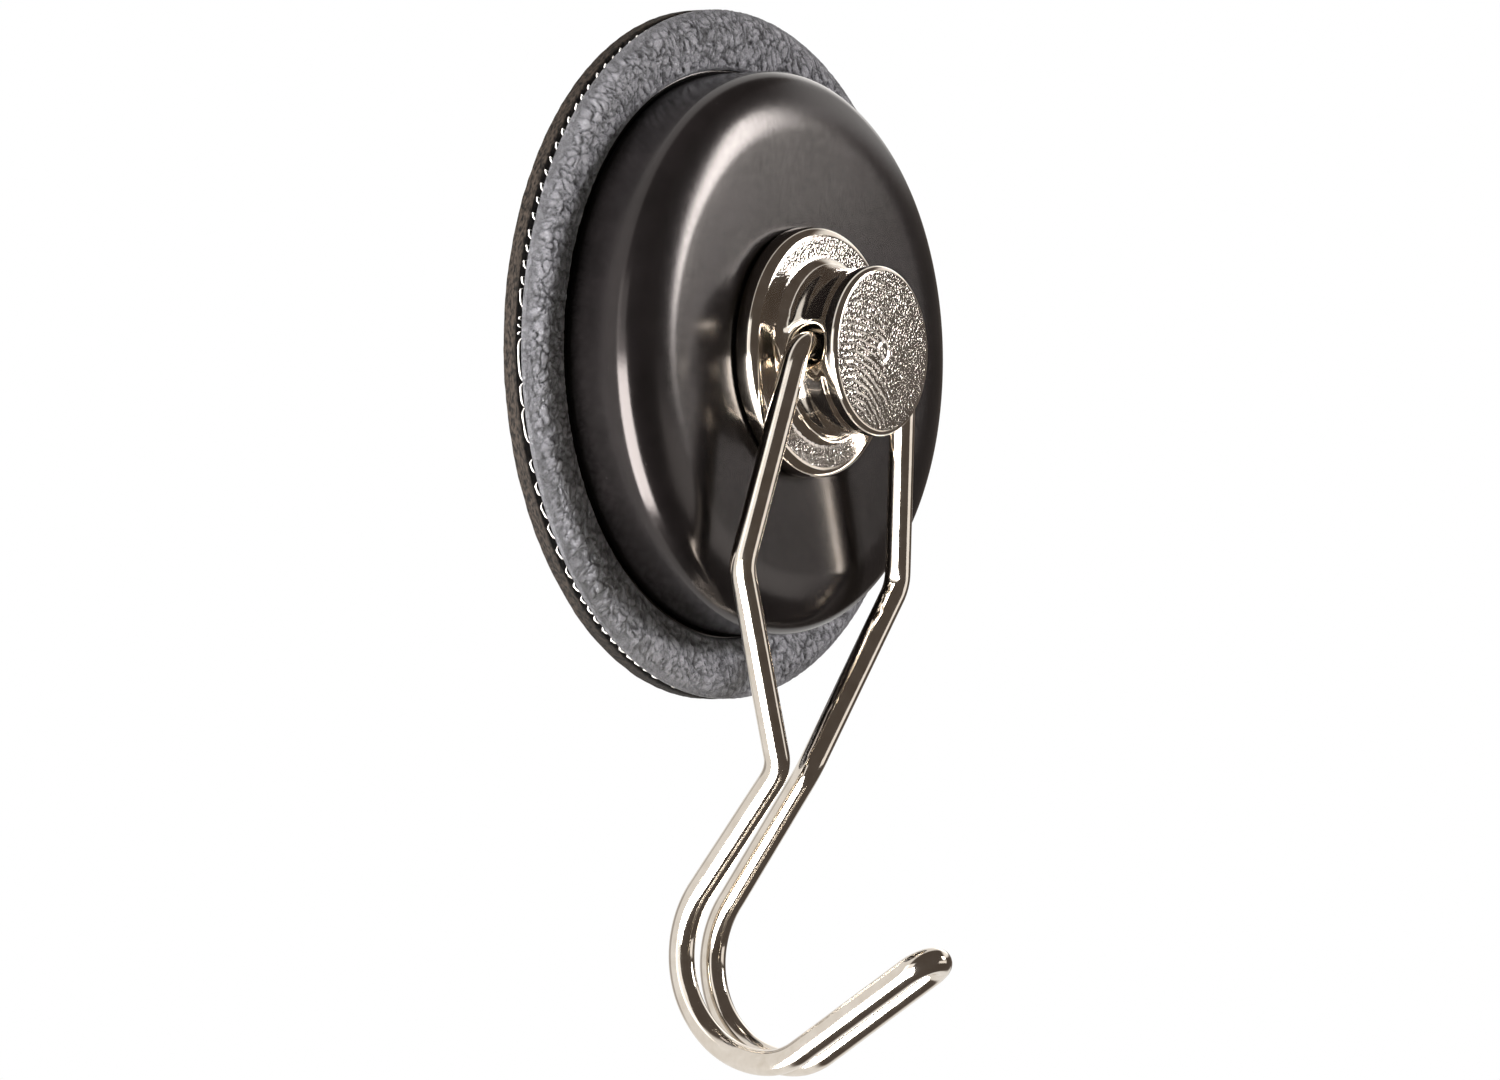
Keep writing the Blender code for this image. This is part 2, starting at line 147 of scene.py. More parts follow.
# Wire hook, measured from the swing axis
WIRE_RADIUS = 1.88 * MM
WIRE_END = 2.0 * MM
CORNER_OUT = 13.45 * MM
SHOULDER_OUT = 20.0 * MM
SHOULDER_BACK = -3.9 * MM
SHOULDER_DOWN = 32.2 * MM
THROAT_HALF = 3.7 * MM
THROAT_BACK = -7.3 * MM
THROAT_DOWN = 60.2 * MM
RUN_ANGLE = 35.0
RUN_LENGTH = 22.4 * MM
HOOK_BEND = 15.0 * MM
TOE_BEND = 10.0 * MM
TOE_ANGLE = 34.0
TOE_LENGTH = 21.5 * MM
TOE_HALF = 3.1 * MM
PAIR_TWIST = 8.0
TWIST_SHARE = 0.35
NICKS = (                               # marks of the bending tools: (across, forward, up), depth, reach
    ((18.3, -3.2, -31.6), 0.30, 0.7),
    ((17.2, -4.6, -33.6), -0.16, 0.6),
    ((-15.9, -0.2, -10.4), 0.22, 0.5),
    ((-4.9, -8.4, -58.4), 0.30, 0.55),
    ((3.2, -5.6, -57.4), 0.24, 0.6),
    ((7.6, -5.5, -50.4), -0.14, 0.6),
    ((15.4, -4.4, -36.2), 0.14, 0.9),
)
BORE_CORNER_BEND = 3.6 * MM
BAIL_BEND = 5.0 * MM
THROAT_BEND = 6.0 * MM
WIRE_SIDES = 28
WIRE_STEP = 0.45 * MM
RUN_STEPS = 15
TOE_STEPS = 20

# Studio, in metres and degrees
CAMERA_PLACE = Vector((-0.7923, -0.5557, -0.0338))
CAMERA_HEADING = Vector((0.8222, 0.5691, 0.0071))
CAMERA_LENS = 159.6
LIGHTS_AIM = Vector((-0.015, -0.016, 0.0))
LIGHTS = (                              # name, azimuth, elevation, distance, size, radiance, colour, shape
    ("key_softbox", -47.8, 11.8, 1.5, (0.29, 0.50), 20.0, (1.0, 0.97, 0.94), "ELLIPSE"),
    ("key_reflector", -42.0, -9.0, 1.5, (0.85, 0.36), 1.0, (1.0, 0.96, 0.92), "RECTANGLE"),
    ("side_softbox", 84.0, -33.0, 1.5, (1.3, 1.6), 20.0, (1.0, 0.98, 0.96), "RECTANGLE"),
    ("side_reflector", 88.0, 11.0, 1.4, (1.0, 0.8), 1.1, (1.0, 0.98, 0.96), "RECTANGLE"),
    ("key_fill", -37.0, 13.0, 1.3, (0.24, 0.24), 430.0, (1.0, 0.98, 0.99), "DISK"),
    ("grazing_fill", 97.0, 4.0, 1.3, (0.5, 0.5), 215.0, (1.0, 0.98, 0.99), "DISK"),
)
REFLECTED_ONLY = ("side_softbox",)      # shows in the metal and the paint, and lights nothing else
NOT_REFLECTED = ("key_fill", "grazing_fill")
FLOOR_UP = -0.36
FLOOR_RADIUS = 2.0
FLOOR_FADE = (1.1, 1.9)
FLOOR_CORNERS = 96


# ---------------------------------------------------------------- mesh helpers

def arc(centre, radius, start, end, steps):
    """Points of an arc in the (radius, forward) plane, angles in degrees from the outward direction."""
    points = []
    for i in range(steps + 1):
        angle = math.radians(start + (end - start) * i / steps)
        points.append((centre[0] + radius * math.cos(angle), centre[1] + radius * math.sin(angle)))
    return points


def divided(profile, step):
    """The same outline with its long stretches divided into pieces no longer than step."""
    points = [profile[0]]
    for before, after in zip(profile, profile[1:]):
        count = max(1, math.ceil(math.dist(before, after) / step))
        for i in range(1, count + 1):
            share = i / count
            points.append((before[0] + (after[0] - before[0]) * share,
                           before[1] + (after[1] - before[1]) * share))
    return points


def flowing(knots, step):
    """A smooth line through the knots, with points about step apart."""
    points = [knots[0]]
    ends = [knots[0]] + list(knots) + [knots[-1]]
    for a, b, c, d in zip(ends, ends[1:], ends[2:], ends[3:]):
        count = max(1, round(math.dist(b, c) / step))
        for i in range(1, count + 1):
            t = i / count
            point = []
            for k in (0, 1):
                point.append(0.5 * (2 * b[k] + (c[k] - a[k]) * t
                                    + (2 * a[k] - 5 * b[k] + 4 * c[k] - d[k]) * t * t
                                    + (3 * b[k] - a[k] - 3 * c[k] + d[k]) * t ** 3))
            points.append(tuple(point))
    return points


def smoothstep(low, high, value):
    share = min(1.0, max(0.0, (value - low) / (high - low)))
    return share * share * (3 - 2 * share)


def make_object(name, verts, faces, materials, slots=None, sharp_angle=40.0):
    """A smooth-shaded mesh object, with sharp edges where faces meet at more than the angle."""
    mesh = bpy.data.meshes.new(name)
    mesh.from_pydata(verts, [], faces)
    for mat in materials:
        mesh.materials.append(mat)
    if slots:
        mesh.polygons.foreach_set("material_index", slots)
    mesh.validate()
    mesh.update()
    mesh.shade_smooth()
    mesh.set_sharp_from_angle(angle=math.radians(sharp_angle))
    obj = bpy.data.objects.new(name, mesh)
    bpy.context.scene.collection.objects.link(obj)
    return obj


def skin(rings, closed=False, start_pole=None, end_pole=None):
    """Vertices and quads over rings of equal length. Each ring closes on itself; closed also joins the
    last ring to the first, and a pole closes its end with a fan."""
    around = len(rings[0])
    verts = [point for ring in rings for point in ring]
    faces = []
    pairs = list(zip(range(len(rings)), range(1, len(rings))))
    if closed:
        pairs.append((len(rings) - 1, 0))
    for a, b in pairs:
        for i in range(around):
            j = (i + 1) % around
            faces.append((a * around + i, a * around + j, b * around + j, b * around + i))
    if start_pole is not None:
        verts.append(start_pole)
        faces += [(len(verts) - 1, (i + 1) % around, i) for i in range(around)]
    if end_pole is not None:
        verts.append(end_pole)
        last = (len(rings) - 1) * around
        faces += [(len(verts) - 1, last + i, last + (i + 1) % around) for i in range(around)]
    return verts, faces


def turn_rings(profile, segments, push=None):
    """Rings of a (radius, forward) outline turned about the Y axis. push(x, z, radius, forward) is how far
    a point moves out along the outline's normal, which lies to the left of the outline's direction."""
    rings = []
    last = len(profile) - 1
    for k, (radius, forward) in enumerate(profile):
        before = profile[max(0, k - 1)]
        after = profile[min(last, k + 1)]
        along = Vector((after[0] - before[0], after[1] - before[1])).normalized()
        normal = (-along.y, along.x)
        ring = []
        for i in range(segments):
            angle = math.tau * i / segments
            x, z = radius * math.cos(angle), radius * math.sin(angle)
            out = push(x, z, radius, forward) if push else 0.0
            r, f = radius + normal[0] * out, forward + normal[1] * out
            ring.append((r * math.cos(angle), -f, r * math.sin(angle)))
        rings.append(ring)
    return rings


# ---------------------------------------------------------------- material helpers

class NodeMaker:
    """Adds shader nodes to a tree. A node's inputs are values, or the output sockets that feed them."""

    def __init__(self, tree):
        self.tree = tree

    def add(self, kind, inputs=None, **settings):
        node = self.tree.nodes.new("ShaderNode" + kind)
        for key, value in settings.items():
            setattr(node, key, value)
        self.feed(node, inputs or {})
        return node

    def feed(self, node, inputs):
        for socket, value in inputs.items():
            if isinstance(value, bpy.types.NodeSocket):
                self.tree.links.new(value, node.inputs[socket])
            else:
                node.inputs[socket].default_value = value


class Recipe(NodeMaker):
    """A material under construction, around its own Principled shader."""

    def __init__(self, name):
        self.mat = bpy.data.materials.new(name)
        self.mat.use_nodes = True
        super().__init__(self.mat.node_tree)
        self.shader = self.tree.nodes["Principled BSDF"]

    def place(self, stretch=(1.0, 1.0, 1.0)):
        """The piece's own coordinates in millimetres, stretched."""
        coordinates = self.add("TexCoord")
        scale = tuple(s / MM for s in stretch)
        return self.add("Mapping", {"Vector": coordinates.outputs["Object"], "Scale": scale}).outputs[0]

    def grain(self, size, detail=2.0, vector=None):
        """Noise whose bumps are about size millimetres across."""
        inputs = {"Vector": vector or self.place(), "Scale": 1.0 / size, "Detail": detail}
        return self.add("TexNoise", inputs).outputs[0]

    def ramp(self, factor, *stops):
        """A colour ramp; each stop is a position and a colour or a grey value."""
        node = self.add("ValToRGB", {0: factor})
        elements = node.color_ramp.elements
        while len(elements) < len(stops):
            elements.new(0.5)
        for element, (position, colour) in zip(elements, stops):
            element.position = position
            element.color = (*colour, 1.0) if isinstance(colour, tuple) else (colour, colour, colour, 1.0)
        return node.outputs["Color"]

    def bump(self, height, depth, below=None):
        """Bump of the given depth in millimetres, on top of another bump."""
        inputs = {"Height": height, "Strength": 1.0, "Distance": depth * MM}
        if below is not None:
            inputs["Normal"] = below
        return self.add("Bump", inputs).outputs["Normal"]

    def finish(self, **inputs):
        """Feeds the shader, whose sockets are named with _ for each space, and returns the material."""
        self.feed(self.shader, {name.replace("_", " "): value for name, value in inputs.items()})
        return self.mat


# ---------------------------------------------------------------- materials

def grained_leather(name, lightness):
    """Black leather with fine pores, on the mesh's own relief: its colour is dark in the creases and lighter
    on the pebbles, which is painted shade.
    """
    recipe = Recipe(name)
    relief = recipe.add("Attribute", attribute_name="relief").outputs["Fac"]
    drift = recipe.add("TexNoise", {"Vector": recipe.place(), "Scale": 0.7, "Detail": 2.0})
    bent = recipe.add("VectorMath", {0: recipe.place(), 1: drift.outputs["Color"], 2: (1.2, 1.2, 1.2)},
                      operation="MULTIPLY_ADD")
    wrinkles = recipe.add("TexVoronoi", {"Vector": bent.outputs[0], "Scale": 1.25},
                          feature="DISTANCE_TO_EDGE")
    crease = recipe.ramp(wrinkles.outputs["Distance"], (0.0, 0.0), (0.20, 1.0))
    # The colour ramp below makes the creases and low relief dark and the pebbles light: painted shade in the
    # creases.
    mixed = recipe.add("Mix", {0: 0.7, 2: crease, 3: relief}, data_type="FLOAT").outputs[0]
    stops = []
    for position, *tone in ((0.36, 0.07, 0.07, 0.08), (0.66, 0.51, 0.51, 0.55), (0.88, 1.0, 0.99, 1.05)):
        stops.append((position, tuple(lightness * channel for channel in tone)))
    colour = recipe.ramp(mixed, *stops)
    rough = recipe.ramp(mixed, (0.4, 0.60), (0.85, 0.42))
    pores = recipe.bump(recipe.grain(0.22, 3.0), 0.02)
    fine = recipe.bump(crease, 0.12, pores)
    return recipe.finish(Base_Color=colour, Roughness=rough, Specular_IOR_Level=1.0, Normal=fine)


def cut_leather():
    """The cut edge of the thick layer: mottled brown-black packed fibres."""
    recipe = Recipe("cut_leather")
    fibres = recipe.grain(0.6, 5.0, recipe.place((0.8, 2.0, 0.8)))
    colour = recipe.ramp(fibres, (0.38, (0.0012, 0.0010, 0.0008)), (0.62, (0.0160, 0.0124, 0.0096)))
    bump = recipe.bump(fibres, 0.12)
    return recipe.finish(Base_Color=colour, Roughness=0.85, Specular_IOR_Level=0.2, Normal=bump)


def thread_fibre():
    """Off-white bonded thread with fine fibres and a little dirt."""
    recipe = Recipe("thread_fibre")
    dirt = recipe.ramp(recipe.grain(2.5, 3.0), (0.35, (0.36, 0.34, 0.31)), (0.6, (0.62, 0.60, 0.56)))
    fibres = recipe.bump(recipe.grain(0.08, 2.0), 0.03)
    return recipe.finish(Base_Color=dirt, Roughness=0.75, Normal=fibres)


def cup_paint():
    """Black satin paint: a faint orange peel and a few specks of dust."""
    recipe = Recipe("cup_paint")
    clouds = recipe.grain(6.0, 4.0)
    tone = recipe.ramp(clouds, (0.3, (0.0018, 0.0016, 0.0016)), (0.7, (0.0034, 0.0029, 0.0029)))
    peel = recipe.bump(recipe.grain(0.7, 3.0), 0.006)
    cells = recipe.add("TexVoronoi", {"Vector": recipe.place(), "Scale": 1 / 3.1}).outputs["Distance"]
    specks = recipe.ramp(cells, (0.0, 1.0), (0.035, 0.0))
    dusty = recipe.bump(specks, 0.05, peel)
    rough = recipe.ramp(recipe.grain(1.2, 4.0), (0.3, 0.17), (0.7, 0.21))
    return recipe.finish(Base_Color=tone, Roughness=rough, Normal=dusty,
                         Specular_Tint=(1.0, 0.91, 0.89, 1.0))


def polished_nickel():
    """Bright nickel plate with faint haze and polishing marks."""
    recipe = Recipe("polished_nickel")
    haze = recipe.grain(2.2, 4.0)
    tone = recipe.ramp(haze, (0.3, (0.70, 0.64, 0.56)), (0.7, (0.80, 0.75, 0.68)))
    rough = recipe.ramp(haze, (0.3, 0.07), (0.7, 0.13))
    marks = recipe.bump(recipe.grain(0.25, 2.0), 0.0012)
    return recipe.finish(Base_Color=tone, Metallic=1.0, Roughness=rough, Normal=marks)


def grainy_nickel(name, depth):
    """Nickel over a finely rough turned face: it sparkles."""
    recipe = Recipe(name)
    haze = recipe.grain(2.2, 4.0)
    tone = recipe.ramp(haze, (0.3, (0.66, 0.62, 0.58)), (0.7, (0.76, 0.72, 0.67)))
    coarse = recipe.bump(recipe.grain(0.34, 1.0), depth)
    return recipe.finish(Base_Color=tone, Metallic=1.0, Roughness=0.10, Normal=coarse)


def zinc_plate():
    recipe = Recipe("zinc_plate")
    spangle = recipe.grain(0.9, 5.0)
    tone = recipe.ramp(spangle, (0.3, (0.42, 0.43, 0.44)), (0.7, (0.60, 0.60, 0.58)))
    rough = recipe.ramp(spangle, (0.3, 0.30), (0.7, 0.45))
    return recipe.finish(Base_Color=tone, Metallic=1.0, Roughness=rough,
                         Normal=recipe.bump(recipe.grain(0.2, 2.0), 0.004))


def sintered_ferrite():
    recipe = Recipe("sintered_ferrite")
    grains = recipe.grain(0.3, 6.0)
    tone = recipe.ramp(grains, (0.3, (0.028, 0.028, 0.031)), (0.7, (0.065, 0.065, 0.070)))
    return recipe.finish(Base_Color=tone, Roughness=0.65, Normal=recipe.bump(grains, 0.05))


def moulded_nylon():
    recipe = Recipe("moulded_nylon")
    cloud = recipe.grain(5.0, 3.0)
    tone = recipe.ramp(cloud, (0.3, (0.70, 0.68, 0.61)), (0.7, (0.80, 0.78, 0.72)))
    return recipe.finish(Base_Color=tone, Roughness=0.45, Subsurface_Weight=0.15,
                         Normal=recipe.bump(recipe.grain(0.4, 2.0), 0.004))


# ---------------------------------------------------------------- leather pad

def grain_height(x, z):
    """Relief of the wrinkled leather, 0 in the creases to 1 on the pebbles."""
    place = Vector((x, z, 0.0)) / MM
    drift = noise.noise_vector(place * 0.35) * 1.1 + noise.noise_vector(place * 1.1) * 0.35
    spot = (place + drift) * 0.66
    distances, middles = noise.voronoi(spot)
    crease = smoothstep(0.0, 0.24, distances[1] - distances[0])
    facet = (spot - middles[0]).dot(noise.noise_vector(middles[0] * 5.3))
    long_cells = noise.voronoi((place + drift * 1.6) * 0.26 + Vector((7.3, 2.1, 0.0)))[0]
    fold = smoothstep(0.0, 0.12, long_cells[1] - long_cells[0])
    fine = noise.noise(place * 2.1)
    return max(0.0, min(1.0, 0.42 * crease + 0.30 * fold + 0.16 + 0.12 * fine + 0.50 * facet))


def set_relief(obj, values):
    attribute = obj.data.attributes.new("relief", "FLOAT", "POINT")
    attribute.data.foreach_set("value", values)


def front_leather(leather):
    """The thin ring around the cup: wrinkled where it lies loose, smoother at the cup and the seam, where
    its colour is painted darker as shade.
    """
    rim_front = CUP_RIM_BACK + CUP_RIM_THICKNESS + MATING_GAP
    sewn_back = BACK_LEATHER + MATING_GAP
    inner_front = RAISED_FRONT - DIP
    surface = flowing([
        (CUP_OPENING + EDGE_ROUND, inner_front),
        (CREST_RADIUS - 1.0 * MM, RAISED_FRONT - 0.12 * MM),
        (CREST_RADIUS + 1.0 * MM, RAISED_FRONT - 0.06 * MM),
        (CREST_RADIUS + 2.2 * MM, RAISED_FRONT - 0.33 * MM),
        (PAD_RADIUS - EDGE_ROUND, PAD_THICKNESS),
    ], 0.22 * MM)
    under = [
        (GROOVE_BOTTOM, GROOVE_FRONT),
        (GROOVE_BOTTOM - 0.2 * MM, sewn_back),
        (CUP_RIM_RADIUS + 1.0 * MM, sewn_back),
        (CUP_RIM_RADIUS + 0.3 * MM, rim_front),
        (CUP_OPENING, rim_front),
    ]
    edge = arc((PAD_RADIUS - EDGE_ROUND, PAD_THICKNESS - EDGE_ROUND), EDGE_ROUND, 90, 0, 3)
    profile = divided([(CUP_OPENING, rim_front), (CUP_OPENING, inner_front - EDGE_ROUND)], 0.3 * MM)
    profile += surface + edge[1:] + divided([(PAD_RADIUS, GROOVE_FRONT)] + under[:1], 0.4 * MM) + under[1:-1]
    relief = []

    def push(x, z, radius, forward):
        loose = smoothstep(CUP_OPENING, CUP_OPENING + 0.8 * MM, radius)
        loose *= 1 - 0.7 * smoothstep(STRETCH_START, STRETCH_END, radius)
        height = grain_height(x, z)
        # at the cup and the seam the relief that sets the colour goes to a darker value: painted shade
        relief.append(height * loose + EDGE_SHADE_RELIEF * (1 - loose))
        if forward < PAD_THICKNESS - 0.35 * MM:
            return 0.0                  # the inner wall, the edge and the underside stay as turned
        wave = 0.10 * MM * noise.noise(Vector((x, z, 3.0)) / (9 * MM))
        return (height - LEVEL_RELIEF) * WRINKLE_DEPTH * loose + wave * loose

    rings = turn_rings(profile, RING_SEGMENTS, push)
    verts, faces = skin(rings, closed=True)
    obj = make_object("leather_ring", verts, faces, [leather])
    set_relief(obj, relief)
    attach(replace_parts(obj, "front_leather"), "magnet")
    return obj


def back_leather(leather, cut_edge):
    """The thick disc: grained face towards the steel, and a cut edge that shows its fibres."""
    corner = PAD_RADIUS - EDGE_ROUND
    middle = 12.0 * MM                  # the rows of faces are closer together inside this radius
    face = divided([(0.25 * MM, 0.0), (middle, 0.0)], 0.25 * MM)
    face += divided([(middle, 0.0), (corner, 0.0)], 0.46 * MM)[1:]
    edge = arc((corner, EDGE_ROUND), EDGE_ROUND, -90, 0, 3)[1:]
    side = divided([edge[-1], (PAD_RADIUS, BACK_LEATHER - EDGE_ROUND)], 0.3 * MM)[1:]
    top = arc((corner, BACK_LEATHER - EDGE_ROUND), EDGE_ROUND, 0, 90, 3)[1:]
    inner = divided([(corner, BACK_LEATHER), (47.0 * MM, BACK_LEATHER)], 0.9 * MM)[1:]
    profile = face + edge + side + top + inner + [(5.0 * MM, BACK_LEATHER)]
    relief = []

    def push(x, z, radius, forward):
        height = grain_height(x + 0.3, z)
        relief.append(height)
        if forward < 0.1 * MM:
            flat = 1 - smoothstep(corner - 1.5 * MM, corner, radius)
            return (height - 1.0) * BACK_WRINKLE_DEPTH * flat
        if radius > corner + 0.1 * MM:
            around = math.atan2(z, x) * PAD_RADIUS / MM
            fibre = noise.noise(Vector((around * 0.7, forward / MM * 2.6, 0.0)))
            return (0.07 * fibre - 0.05 + 0.05 * noise.noise(Vector((around * 0.12, 4.0, 0.0)))) * MM
        return 0.0

    rings = turn_rings(profile, DISC_SEGMENTS, push)
    verts, faces = skin(rings, start_pole=(0.0, 0.0, 0.0), end_pole=(0.0, -BACK_LEATHER, 0.0))
    cut_rows = range(len(face) - 1, len(profile) - 1)
    slots = [1 if index // DISC_SEGMENTS in cut_rows else 0 for index in range(len(faces))]
    obj = make_object("leather_disc", verts, faces, [leather, cut_edge], slots, 60.0)
    poles_relief = [0.6, 0.6]
    set_relief(obj, relief + poles_relief)
    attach(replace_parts(obj, "back_leather"), "magnet")
    return obj


def stitch(angle, length, tilt, lift):
    """Rings of one stitch in the groove: a two-ply thread whose ends dive in between the leathers. The angle
    runs from -X up over the top, and tilt moves the stitch's ends back and forward."""
    middle = BACK_LEATHER + STITCH_HEIGHT * (GROOVE_FRONT - BACK_LEATHER)
    steps, sides = 12, 10
    rings = []
    for k in range(steps + 1):
        t = 2 * k / steps - 1
        turn = angle + t * length / 2 / STITCH_RADIUS
        radius = STITCH_RADIUS + lift - STITCH_DIVE * abs(t) ** 6
        centre = Vector((-radius * math.cos(turn), -(middle + tilt * t), radius * math.sin(turn)))
        outward = Vector((-math.cos(turn), 0.0, math.sin(turn)))
        ahead = Vector((0.0, -1.0, 0.0))
        ring = []
        for i in range(sides):
            phi = math.tau * i / sides
            ply = 1 + 0.16 * math.cos(2 * phi - 7.0 * t)
            size = THREAD_RADIUS * ply * (1 - 0.35 * abs(t) ** 3)
            ring.append(centre + (outward * math.cos(phi) + ahead * math.sin(phi)) * size)
        rings.append(ring)
    return rings


def seam_stitches(thread):
    """All the stitches: the tied-off ends and long stitches where the sewing starts and stops, then the
    even ones all the way round, each a little different."""
    rand = random.Random(11)
    verts, faces = [], []
    stitches = list(TIED_OFF + LONG_STITCHES)
    place = EVEN_START
    while place < EVEN_STOP:
        degrees = math.degrees(place * MM / STITCH_RADIUS)
        close = any(low < degrees < high for low, high in CLOSE_STRETCHES)
        pitch = (CLOSE_PITCH if close else STITCH_PITCH) / MM
        length = pitch * STITCH_SHARE * rand.uniform(0.75, 1.15)
        spot = place + rand.uniform(-0.12, 0.12) * pitch
        stitches.append((spot, length, -0.26 + rand.uniform(-0.07, 0.07)))
        place += pitch
    for spot, length, tilt in stitches:
        lift = rand.uniform(-0.10, 0.04) * MM
        rings = stitch(spot * MM / STITCH_RADIUS, length * MM, tilt * MM, lift)
        first = len(verts)
        start = sum(rings[0], Vector()) / len(rings[0])
        end = sum(rings[-1], Vector()) / len(rings[-1])
        new_verts, new_faces = skin(rings, start_pole=start, end_pole=end)
        verts += new_verts
        faces += [tuple(first + i for i in face) for face in new_faces]
    obj = make_object("seam_stitches", verts, faces, [thread])
    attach(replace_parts(obj, "seam_thread"), "magnet")
    return obj


# ---------------------------------------------------------------- cup

def cup_outline(thickness, crown_steps, corner_steps):
    """Forward part of the cup's section, offset inwards by a thickness: flat, crown and corner."""
    crown = math.radians(CROWN_ANGLE)
    crown_centre = (CUP_FLAT_RADIUS, CUP_FACE - CROWN_RADIUS)
    corner_reach = CROWN_RADIUS - CORNER_RADIUS
    corner_centre = (crown_centre[0] + corner_reach * math.sin(crown),
                     crown_centre[1] + corner_reach * math.cos(crown))
    points = arc(crown_centre, CROWN_RADIUS - thickness, 90, 90 - CROWN_ANGLE, crown_steps)
    points += arc(corner_centre, CORNER_RADIUS - thickness,
                  90 - CROWN_ANGLE, 90 - CORNER_END_ANGLE, corner_steps)[1:]
    return points


def steel_cup(paint):
    """The stamped cup, very slightly uneven as pressed sheet is."""
    rim_front = CUP_RIM_BACK + CUP_RIM_THICKNESS
    seat = CUP_FACE - SEAT_DEPTH
    outside = [(SEAT_RADIUS, seat), (SEAT_RADIUS + SEAT_DEPTH, CUP_FACE)]
    outside += divided([outside[-1], (CUP_FLAT_RADIUS, CUP_FACE)], 2.0 * MM)[1:-1]
    outside += cup_outline(0.0, 14, 20)
    outside += divided([outside[-1], (CUP_RADIUS, rim_front + RIM_FILLET)], 1.2 * MM)[1:-1]
    outside += arc((CUP_RADIUS + RIM_FILLET, rim_front + RIM_FILLET), RIM_FILLET, 180, 270, 3)
    profile = [(CUP_HOLE_RADIUS, seat)] + outside + [
        (CUP_RIM_RADIUS, rim_front),
        (CUP_RIM_RADIUS, CUP_RIM_BACK),
        (CUP_RADIUS - CUP_STEEL, CUP_RIM_BACK),
    ]
    profile += reversed(cup_outline(CUP_STEEL, 4, 5))
    profile += [
        (SEAT_RADIUS + CUP_STEEL, CUP_FACE - CUP_STEEL),
        (SEAT_RADIUS + CUP_STEEL - SEAT_DEPTH, seat - CUP_STEEL),
        (CUP_HOLE_RADIUS, seat - CUP_STEEL),
    ]

    def push(x, z, radius, forward):
        if radius < CUP_FLAT_RADIUS * 0.7 or forward < rim_front:
            return 0.0
        return 0.035 * MM * noise.noise(Vector((x, z, forward)) / (14 * MM))

    verts, faces = skin(turn_rings(profile, CUP_SEGMENTS, push), closed=True)
    obj = make_object("cup_shell", verts, faces, [paint], sharp_angle=50.0)
    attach(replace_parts(obj, "steel_cup"), "magnet")
    return obj


# ---------------------------------------------------------------- knob

def neck_radius(forward):
    """Radius of the knob between the flange and the head: fillet, neck and flare."""
    fillet_top = FLANGE_FRONT + NECK_FILLET
    if forward < fillet_top:
        drop = min(NECK_FILLET, fillet_top - forward)
        return NECK_FOOT + NECK_FILLET - math.sqrt(NECK_FILLET ** 2 - drop ** 2)
    if forward < HEAD_BACK:
        foot = (1 - smoothstep(fillet_top, fillet_top + 2.0 * MM, forward)) * (NECK_FOOT - NECK_RADIUS)
        flare = smoothstep(HEAD_BACK - 2.4 * MM, HEAD_BACK, forward) ** 1.5 * (HEAD_RADIUS - NECK_RADIUS)
        return NECK_RADIUS + foot + flare
    return HEAD_RADIUS


def on_neck(across, forward, side):
    """Point of the neck's surface at a sideways distance from the bore's axis, on the side of -X or +X."""
    radius = neck_radius(forward)
    return (side * math.sqrt(max(0.0, radius * radius - across * across)), -forward, across)


def bore_mouth(frame_points, side):
    """Rings from a patch's frame of (across, forward) points in to the rounded lip and down the bore."""
    rings = []
    directions = []
    for across, forward in frame_points:
        out = Vector((across, forward - BORE_FORWARD))
        directions.append(out.normalized())
    for share in (0.75, 0.5, 0.25, 0.0):
        ring = []
        for (across, forward), way in zip(frame_points, directions):
            inner = Vector((0.0, BORE_FORWARD)) + way * LIP_RADIUS
            place = inner.lerp(Vector((across, forward)), share)
            ring.append(on_neck(place.x, place.y, side))
        rings.append(ring)
    lip_steps = 9
    for k in range(1, lip_steps + 1):
        turn = k / lip_steps * math.pi / 2
        reach_out = LIP_RADIUS - (LIP_RADIUS - BORE_RADIUS) * math.sin(turn)
        depth = LIP_DEPTH * (1 - math.cos(turn))
        ring = []
        for way in directions:
            x, y, z = on_neck(way.x * reach_out, BORE_FORWARD + way.y * reach_out, side)
            ring.append((x - side * depth, y, z))
        rings.append(ring)
    for x in (8.0 * MM, 5.0 * MM):
        rings.append([(side * x, -(BORE_FORWARD + way.y * BORE_RADIUS), way.x * BORE_RADIUS)
                      for way in directions])
    return rings


def face_ripple(x, z):
    """Polishing ripples on the head: arcs about a point past its lower left edge, strongest on the left."""
    place = Vector((x, z)) / MM
    away = (place - RIPPLE_CENTRE).length + 0.35 * noise.noise(Vector((place.x, place.y, 0.0)) * 0.35)
    strength = 1 - smoothstep(-1.0, 4.5, place.x)
    strength *= 0.85 + 0.5 * noise.noise(Vector((place.x, place.y, 8.0)) * 0.3)
    return RIPPLE_DEPTH * strength * math.sin(math.tau * away / RIPPLE_PERIOD)


def head_face(x, z):
    """Height of the head's front face: ripples that fade towards its edge, and the punch mark."""
    distance = math.hypot(x, z) / MM
    ring = math.exp(-((distance - PUNCH_RADIUS) / PUNCH_WIDTH) ** 2)
    fade = 1 - smoothstep(10.2, 11.4, distance)
    return PUNCH_HEIGHT * ring + face_ripple(x, z) * fade


